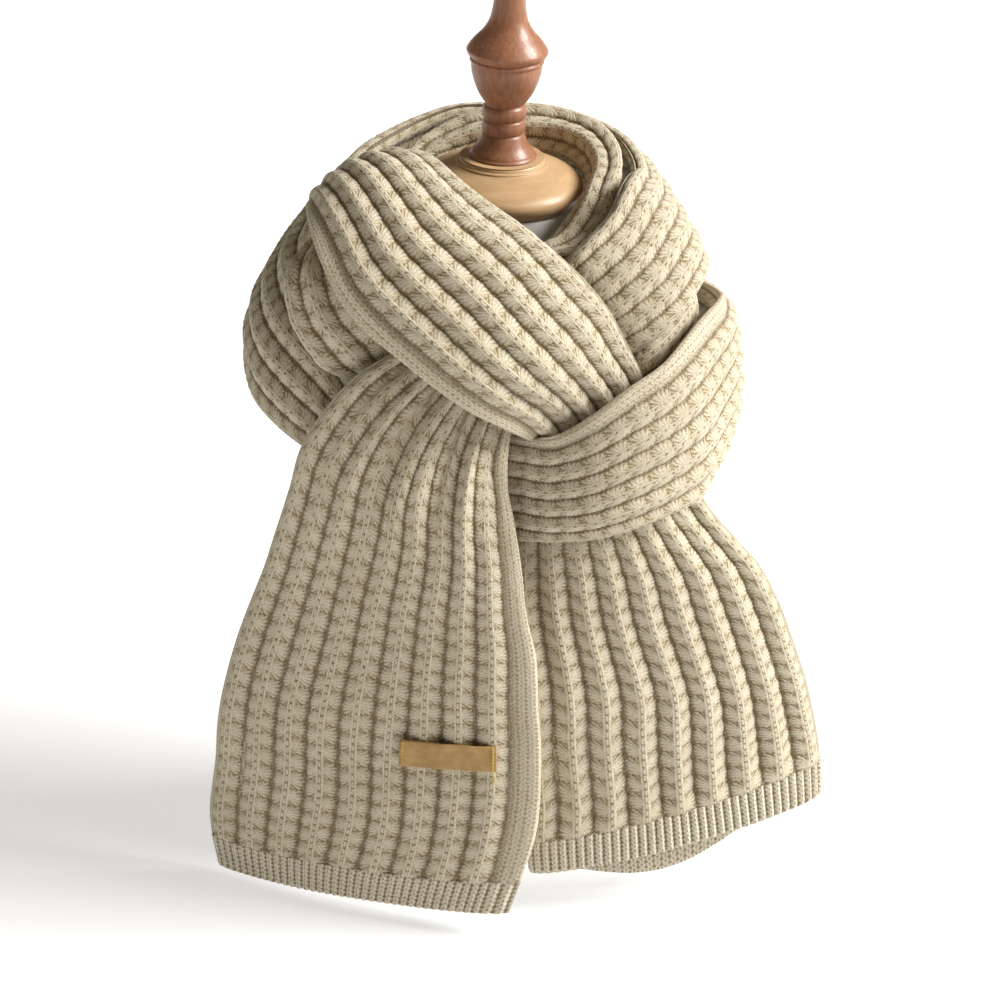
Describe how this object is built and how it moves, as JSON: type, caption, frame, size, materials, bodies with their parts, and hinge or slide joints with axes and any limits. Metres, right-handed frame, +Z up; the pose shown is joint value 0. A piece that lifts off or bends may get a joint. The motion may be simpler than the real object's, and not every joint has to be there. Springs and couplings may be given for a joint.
{
  "type": "knit scarf on limbless dress form",
  "caption": "Chunky ribbed tube scarf wound twice round a limbless dress form, with two hanging tails, a small blank leather label and a turned-wood neck cap and finial.",
  "frame": {"origin": "on the floor, on the upright axis of the dress form", "axes": "+Z up; the wearer's front faces -Y; +X is to the right as seen from the front"},
  "size_m": [0.4431, 0.3077, 0.664],
  "materials": {
    "knit": "chunky rib knit, heathered oatmeal wool",
    "label": "tan leather, lightly creased, stitched at both ends",
    "form_cloth": "plain off-white linen stretched over the form",
    "cap_wood": "turned pale wood, satin",
    "finial_wood": "turned red-brown wood, polished"
  },
  "bodies": {
    "root": {"hem_right": "knit", "tail_right": "knit", "cross_front": "knit", "back_band": "knit", "loop_right": "knit", "loop_left": "knit", "collar_back": "knit", "collar_right": "knit", "tail_left": "knit", "hem_left": "knit", "cross_fold": "knit", "collar_fold": "knit", "collar_inner": "knit", "label": "label", "form_body": "form_cloth", "neck_cap": "cap_wood", "finial": "finial_wood"}
  },
  "joints": []
}
